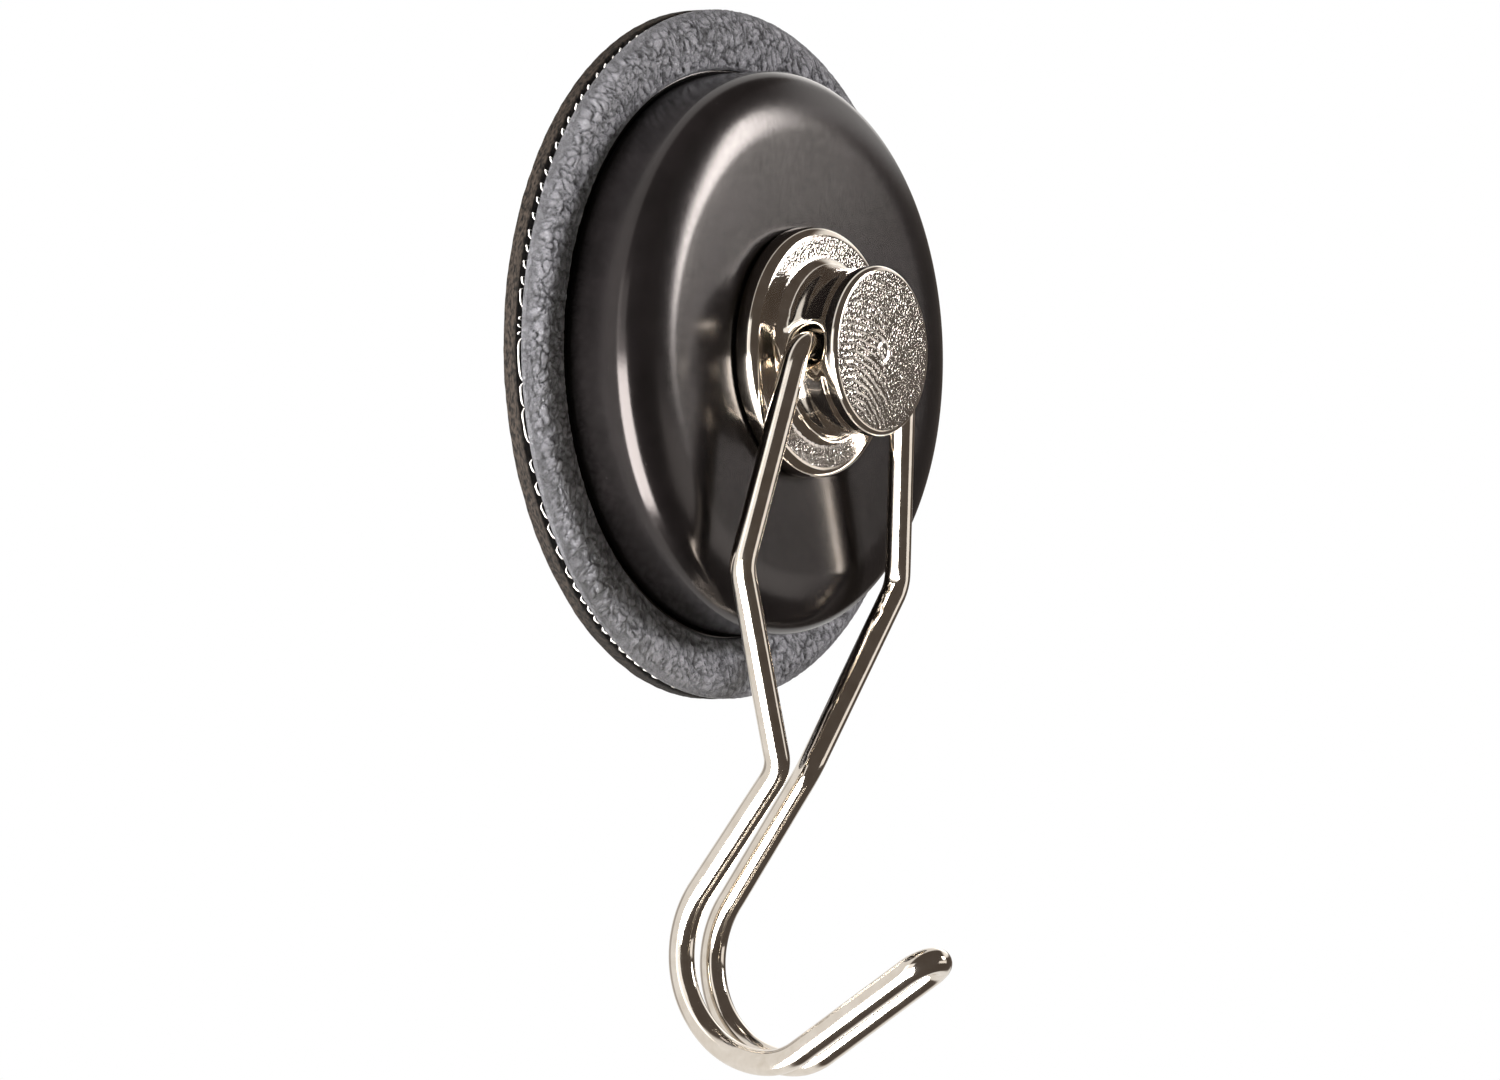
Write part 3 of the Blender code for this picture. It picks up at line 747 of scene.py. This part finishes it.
def knob_outline():
    """The knob's outline from the screw socket to the middle of the head, and the rows where the flange's
    rounded edge ends, where the patches around the bore start, and where the head's face starts."""
    low_row, high_row = FLANGE_FRONT + 0.18 * MM, HEAD_BACK + 0.5 * MM
    side = KNOB_FLANGE_RADIUS
    back_round, front_round = FLANGE_BACK_ROUND, FLANGE_FRONT_ROUND
    outline = [(SOCKET_RADIUS, SOCKET_FRONT), (SOCKET_RADIUS, KNOB_BACK)]
    outline += divided([outline[-1], (side - back_round, KNOB_BACK)], 3.0 * MM)[1:-1]
    outline += arc((side - back_round, KNOB_BACK + back_round), back_round, -90, 0, 4)
    outline += arc((side - front_round, FLANGE_FRONT - front_round), front_round, 0, 90, 12)
    flange_row = len(outline) - 1
    outline += divided([outline[-1], (NECK_FOOT + NECK_FILLET, FLANGE_FRONT)], 0.7 * MM)[1:]
    for i in range(1, 5):
        forward = FLANGE_FRONT + (low_row - FLANGE_FRONT) * (i / 4) ** 2
        outline.append((neck_radius(forward), forward))
    neck_row = len(outline) - 1
    for i in range(1, NECK_ROWS + 1):
        forward = low_row + (high_row - low_row) * i / NECK_ROWS
        outline.append((neck_radius(forward), forward))
    outline.append((HEAD_RADIUS, KNOB_FRONT - HEAD_ROUND))
    outline += arc((HEAD_RADIUS - HEAD_ROUND, KNOB_FRONT - HEAD_ROUND), HEAD_ROUND, 0, 90, 10)[1:]
    head_row = len(outline) - 1
    outline += divided([outline[-1], (0.25 * MM, KNOB_FRONT)], 0.19 * MM)[1:]
    return outline, flange_row, neck_row, head_row


def turned_knob():
    """Vertices, faces and material slots of the turned knob, open where the patches around the bore go,
    and the row where those patches start."""
    outline, flange_row, neck_row, head_row = knob_outline()

    def push(x, z, radius, forward):
        return head_face(x, z) if forward > KNOB_FRONT - 1e-6 and radius < HEAD_RADIUS - HEAD_ROUND else 0.0

    def in_patch(row, column):
        quarter = KNOB_SEGMENTS // 4
        shifted = (column + quarter) % (2 * quarter) - quarter
        beside = -PATCH_HALF_COLUMNS <= shifted < PATCH_HALF_COLUMNS
        return neck_row <= row < neck_row + NECK_ROWS and beside

    verts = [Vector(point) for ring in turn_rings(outline, KNOB_SEGMENTS, push) for point in ring]
    faces, slots = [], []
    for row in range(len(outline) - 1):
        slot = int(row >= head_row)
        if flange_row <= row < flange_row + GRAINY_FLANGE_ROWS:
            slot = 2
        for i in range(KNOB_SEGMENTS):
            if in_patch(row, i):
                continue
            j = (i + 1) % KNOB_SEGMENTS
            low, high = row * KNOB_SEGMENTS, (row + 1) * KNOB_SEGMENTS
            faces.append((low + i, low + j, high + j, high + i))
            slots.append(slot)
    last = (len(outline) - 1) * KNOB_SEGMENTS
    for forward, first, slot in ((SOCKET_FRONT, 0, 0), (KNOB_FRONT, last, 1)):
        verts.append(Vector((0.0, -forward, 0.0)))
        for i in range(KNOB_SEGMENTS):
            ends = (first + i, first + (i + 1) % KNOB_SEGMENTS)
            faces.append((len(verts) - 1, *(ends if first else ends[::-1])))
            slots.append(slot)
    return verts, faces, slots, neck_row


def patch_frame(side, neck_row):
    """The neck's vertices around the patch on the side of -X or +X, in order."""
    middle = 0 if side > 0 else KNOB_SEGMENTS // 2
    columns = [(middle + c) % KNOB_SEGMENTS for c in range(-PATCH_HALF_COLUMNS, PATCH_HALF_COLUMNS + 1)]
    last_row = neck_row + NECK_ROWS
    places = [(neck_row, column) for column in columns]
    places += [(row, columns[-1]) for row in range(neck_row + 1, last_row + 1)]
    places += [(last_row, column) for column in columns[-2::-1]]
    places += [(row, columns[0]) for row in range(last_row - 1, neck_row, -1)]
    return [row * KNOB_SEGMENTS + column for row, column in places]


def swivel_knob(polished, grainy_head, grainy_flange):
    """One turned piece. Around each end of the cross bore a patch of the neck is meshed on rays from the
    bore, so that the lip is round and smooth."""
    verts, faces, slots, neck_row = turned_knob()
    bore_ends = {}
    for side in (1, -1):
        previous = patch_frame(side, neck_row)
        points = [(verts[i].z, -verts[i].y) for i in previous]
        for ring in bore_mouth(points, side):
            indices = list(range(len(verts), len(verts) + len(ring)))
            verts += [Vector(point) for point in ring]
            for i in range(len(ring)):
                j = (i + 1) % len(ring)
                faces.append((previous[j], previous[i], indices[i], indices[j]))
            previous = indices
        bore_ends[side] = previous
    right, left = bore_ends[1], bore_ends[-1]
    partner = {}
    for index in left:
        partner[index] = min(right, key=lambda r: (verts[r].yz - verts[index].yz).length)
    for i in range(len(left)):
        j = (i + 1) % len(left)
        faces.append((left[j], left[i], partner[left[i]], partner[left[j]]))
    slots += [0] * (len(faces) - len(slots))
    obj = make_object("knob", verts, faces, [polished, grainy_head, grainy_flange], slots, 50.0)
    obj.data.transform(Matrix.Rotation(SWIVEL_AT_REST, 4, "Y"))
    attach(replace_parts(obj, "swivel_knob"), "knob")
    return obj


# ---------------------------------------------------------------- wire hook

def rounded(corners, bends, step):
    """A polyline through the corners, each inner corner replaced by an arc of its bend radius."""
    points = [corners[0]]
    for before, corner, after, bend in zip(corners, corners[1:], corners[2:], bends):
        into = (before - corner).normalized()
        away = (after - corner).normalized()
        half = into.angle(away) / 2
        trim = bend / math.tan(half)
        centre = corner + (into + away).normalized() * (bend / math.sin(half))
        first = corner + into * trim - centre
        axis = first.cross(corner + away * trim - centre).normalized()
        turn = math.pi - 2 * half
        steps = max(3, round(bend * turn / step))
        for i in range(steps + 1):
            points.append(centre + Matrix.Rotation(turn * i / steps, 3, axis) @ first)
    points.append(corners[-1])
    return points


def hook_line():
    """Centreline of the J below the bail, as (forward, up) points with the inward normal of each."""
    heading = math.radians(270 - RUN_ANGLE)
    place = Vector((THROAT_BACK, -THROAT_DOWN))
    place += RUN_LENGTH * Vector((math.cos(heading), math.sin(heading)))
    line = [(place.copy(), Vector((-math.sin(heading), math.cos(heading))))]
    for radius, turn, steps in ((HOOK_BEND, RUN_ANGLE + 90.0, 42), (TOE_BEND, TOE_ANGLE, 12)):
        step_turn = math.radians(turn) / steps
        chord = 2 * radius * math.sin(step_turn / 2)
        for _ in range(steps):
            middle = heading + step_turn / 2
            place += chord * Vector((math.cos(middle), math.sin(middle)))
            heading += step_turn
            line.append((place.copy(), Vector((-math.sin(heading), math.cos(heading)))))
    for _ in range(RUN_STEPS):
        place += TOE_LENGTH / RUN_STEPS * Vector((math.cos(heading), math.sin(heading)))
        line.append((place.copy(), Vector((-math.sin(heading), math.cos(heading)))))
    return line, heading


def hook_centreline():
    """The whole wire, from its end in one side of the bore round the toe to the other end.
    Points are (across, forward, up) measured from the swing axis."""
    line, toe_heading = hook_line()
    halves = {}
    for side in (-1, 1):
        bail = [
            Vector((side * WIRE_END, 0.0, 0.0)),
            Vector((side * CORNER_OUT, 0.0, 0.0)),
            Vector((side * SHOULDER_OUT, SHOULDER_BACK, -SHOULDER_DOWN)),
            Vector((side * THROAT_HALF, THROAT_BACK, -THROAT_DOWN)),
        ]
        pair = []
        for i, (place, normal) in enumerate(line):
            share = i / (len(line) - 1)
            half = THROAT_HALF + (TOE_HALF - THROAT_HALF) * share
            twist = math.radians(PAIR_TWIST * max(0.0, 1 - share / TWIST_SHARE))
            inward = side * half * math.sin(twist)
            pair.append(Vector((side * half * math.cos(twist), place.x + inward * normal.x,
                                place.y + inward * normal.y)))
        bends = (BORE_CORNER_BEND, BAIL_BEND, THROAT_BEND)
        halves[side] = rounded(bail + [pair[0]], bends, 0.5 * MM)[:-1] + pair
    left_tip, right_tip = halves[-1][-1], halves[1][-1]
    across = (right_tip - left_tip) / 2
    ahead = Vector((0.0, math.cos(toe_heading), math.sin(toe_heading))) * across.length
    toe = []
    for i in range(1, TOE_STEPS):
        angle = math.pi * i / TOE_STEPS
        toe.append((left_tip + right_tip) / 2 - across * math.cos(angle) + ahead * math.sin(angle))
    return halves[-1] + toe + halves[1][::-1]


def spaced(points, step):
    """The same line with points about step apart, with its first and last point kept."""
    lengths = [0.0]
    for before, after in zip(points, points[1:]):
        lengths.append(lengths[-1] + (after - before).length)
    count = round(lengths[-1] / step)
    even = []
    k = 0
    for i in range(count + 1):
        target = lengths[-1] * i / count
        while k < len(points) - 2 and lengths[k + 1] < target:
            k += 1
        share = (target - lengths[k]) / max(1e-12, lengths[k + 1] - lengths[k])
        even.append(points[k].lerp(points[k + 1], min(1.0, share)))
    return even


def wire_hook(nickel):
    """One wire, swept along its centreline, slightly uneven and with the bending tools' marks."""
    turn = Matrix.Rotation(SWIVEL_AT_REST, 3, "Y")
    path = []
    for point in spaced(hook_centreline(), WIRE_STEP):
        path.append(turn @ Vector((point.x, -BORE_FORWARD - point.y, point.z)))
    nicks = []
    for (across, forward, up), depth, reach_out in NICKS:
        spot = turn @ (Vector((across, -forward, up)) * MM - Vector((0.0, BORE_FORWARD, 0.0)))
        nicks.append((spot, depth * MM, reach_out * MM))
    rings = []
    along = (path[1] - path[0]).normalized()
    side_way = along.orthogonal().normalized()
    for k, place in enumerate(path):
        ahead = (path[min(k + 1, len(path) - 1)] - path[max(k - 1, 0)]).normalized()
        side_way = (along.rotation_difference(ahead) @ side_way).normalized()
        along = ahead
        other = along.cross(side_way)
        ring = []
        for i in range(WIRE_SIDES):
            phi = math.tau * i / WIRE_SIDES
            way = side_way * math.cos(phi) + other * math.sin(phi)
            skin_point = place + way * WIRE_RADIUS
            wave = 0.010 * MM * noise.noise(skin_point / (3.5 * MM))
            for spot, depth, reach_out in nicks:
                away = (skin_point - spot).length / reach_out
                if away < 2.5:
                    wave -= depth * math.exp(-away * away)
            ring.append(place + way * (WIRE_RADIUS + wave))
        rings.append(ring)
    for end, inner, position in ((0, 1, 0), (-1, -2, len(rings) + 1)):      # a small bevel at both ends
        tip = path[end]
        beyond = (tip - path[inner]) * 0.5
        rings.insert(position, [tip + (point - tip) * 0.86 + beyond for point in rings[end]])
    verts, faces = skin(rings, start_pole=path[0], end_pole=path[-1])
    obj = make_object("hook_wire", verts, faces, [nickel], sharp_angle=50.0)
    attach(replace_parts(obj, "wire_hook"), "hook")
    return obj


# ---------------------------------------------------------------- studio

def direction(azimuth, elevation):
    """Unit vector seen from the object; azimuth 0 is -Y, positive towards -X, in degrees."""
    a, e = math.radians(azimuth), math.radians(elevation)
    return Vector((-math.sin(a) * math.cos(e), -math.cos(a) * math.cos(e), math.sin(e)))


def area_light(name, azimuth, elevation, distance, size, radiance, colour, shape):
    """A soft box that faces the object, of a given brightness as the object sees it."""
    light = bpy.data.lights.new(name, "AREA")
    light.shape = shape
    light.size, light.size_y = size
    area = size[0] * size[1] * (math.pi / 4 if shape in ("DISK", "ELLIPSE") else 1.0)
    light.energy = radiance * area * math.pi
    light.color = colour
    obj = bpy.data.objects.new(name, light)
    bpy.context.scene.collection.objects.link(obj)
    way = direction(azimuth, elevation)
    obj.location = LIGHTS_AIM + way * distance
    obj.rotation_mode = "QUATERNION"
    obj.rotation_quaternion = way.to_track_quat("Z", "Y")
    obj.visible_camera = False
    obj.visible_diffuse = name not in REFLECTED_ONLY
    obj.visible_glossy = name not in NOT_REFLECTED


def studio_world():
    """White to the camera. Everything else sees a white sweep behind the object, from below it to overhead,
    with a dark flag on the right and a dim gap at the back, and darkness in front."""
    world = bpy.data.worlds.new("studio")
    world.use_nodes = True
    bpy.context.scene.world = world
    world.node_tree.nodes.clear()
    add = NodeMaker(world.node_tree).add

    def combine(operation, a, b, c=0.0):
        return add("Math", {0: a, 1: b, 2: c}, operation=operation).outputs[0]

    def edge(value, start, end):
        """0 before the start and 1 past the end; falls instead where the end lies before the start."""
        return add("MapRange", {"Value": value, "From Min": start, "From Max": end},
                   interpolation_type="SMOOTHSTEP").outputs[0]

    def without(value, mask, share):
        """The value less a share of itself where the mask is 1."""
        return combine("MULTIPLY", value, combine("MULTIPLY_ADD", mask, -share, 1.0))

    way = add("TexCoord").outputs["Generated"]
    x, y, z = add("SeparateXYZ", {0: way}).outputs
    level = edge(combine("ABSOLUTE", z, 0.0), 0.27, 0.17)
    flag = combine("MULTIPLY", edge(x, 0.85, 0.93), level)
    facing_back = add("VectorMath", {0: way, 1: (0.087, 0.996, 0.0)}, operation="DOT_PRODUCT")
    gap = edge(facing_back.outputs["Value"], 0.92, 0.97)
    sweep = without(without(edge(y, -0.02, 0.14), flag, 0.9), gap, 0.55)
    high = combine("MULTIPLY", edge(z, 0.15, 0.30), edge(z, 0.68, 0.50))
    roof = combine("MULTIPLY", high, edge(x, 0.72, 0.88))
    glow = combine("MULTIPLY_ADD", sweep, 0.82, 0.09)
    glow = combine("MULTIPLY_ADD", roof, 1.1, glow)
    tint = add("Mix", {0: edge(glow, 0.1, 0.6), 6: (1.0, 0.82, 0.70, 1.0), 7: (1.0, 0.97, 0.94, 1.0)},
               data_type="RGBA").outputs[2]
    lit = add("Background", {"Color": tint, "Strength": glow})
    seen = add("Background", {"Color": (1.0, 1.0, 1.0, 1.0), "Strength": 1.0})
    is_camera = add("LightPath").outputs["Is Camera Ray"]
    mixed = add("MixShader", {0: is_camera, 1: lit.outputs[0], 2: seen.outputs[0]})
    add("OutputWorld", {0: mixed.outputs[0]})


def floor():
    """A plain pale floor well below the hanging hook, fading out at its edge. It glows evenly, and only the
    camera sees it, so that it neither lights the object nor shows in the metal."""
    recipe = Recipe("pale_floor")
    distance = recipe.add("VectorMath", {0: recipe.add("TexCoord").outputs["Object"]}, operation="LENGTH")
    fading = {"Value": distance.outputs["Value"], "From Min": FLOOR_FADE[0], "From Max": FLOOR_FADE[1],
              "To Min": 1.0, "To Max": 0.0}
    fade = recipe.add("MapRange", fading, interpolation_type="SMOOTHSTEP").outputs[0]
    clouds = recipe.ramp(recipe.grain(400.0, 2.0), (0.3, (0.90, 0.89, 0.88)), (0.7, (0.94, 0.935, 0.93)))
    pale = recipe.finish(Base_Color=(0.02, 0.02, 0.02, 1.0), Roughness=0.9, Specular_IOR_Level=0.0,
                         Emission_Color=clouds, Emission_Strength=1.0, Alpha=fade)
    verts = []
    for i in range(FLOOR_CORNERS):
        angle = math.tau * i / FLOOR_CORNERS
        verts.append((FLOOR_RADIUS * math.cos(angle), FLOOR_RADIUS * math.sin(angle), 0.0))
    obj = make_object("floor", verts, [tuple(range(FLOOR_CORNERS))], [pale])
    obj.location = (0.0, 0.0, FLOOR_UP)
    obj.visible_glossy = False
    obj.visible_diffuse = False
    obj.visible_shadow = False


def camera():
    data = bpy.data.cameras.new("camera")
    data.lens = CAMERA_LENS
    data.sensor_width = 36.0
    data.clip_start = 0.05
    obj = bpy.data.objects.new("camera", data)
    bpy.context.scene.collection.objects.link(obj)
    obj.location = CAMERA_PLACE
    obj.rotation_mode = "QUATERNION"
    obj.rotation_quaternion = CAMERA_HEADING.to_track_quat("-Z", "Y")
    bpy.context.scene.camera = obj


def inner_pieces():
    """The hidden pieces keep their CAD meshes and get finished materials."""
    ferrite = sintered_ferrite()
    zinc = zinc_plate()
    nylon = moulded_nylon()
    finishes = {
        "ring_magnet": ferrite,
        "centre_pole": zinc,
        "magnet_spacer": nylon,
        "swivel_bush": nylon,
        "swivel_screw": zinc,
        "screw_washer": zinc,
    }
    for node, mat in finishes.items():
        materials = frame["nodes"][node].data.materials
        materials.clear()
        materials.append(mat)


def build():
    camera()
    nickel = polished_nickel()
    grainy_head = grainy_nickel("grainy_nickel", 0.029)
    grainy_flange = grainy_nickel("grainy_flange", 0.034)
    front_leather(grained_leather("grained_leather", 0.165))
    back_leather(grained_leather("pad_leather", 0.050), cut_leather())
    seam_stitches(thread_fibre())
    steel_cup(cup_paint())
    swivel_knob(nickel, grainy_head, grainy_flange)
    wire_hook(nickel)
    inner_pieces()
    studio_world()
    floor()
    for light in LIGHTS:
        area_light(*light)
    bpy.context.scene.view_settings.view_transform = "Standard"


build()
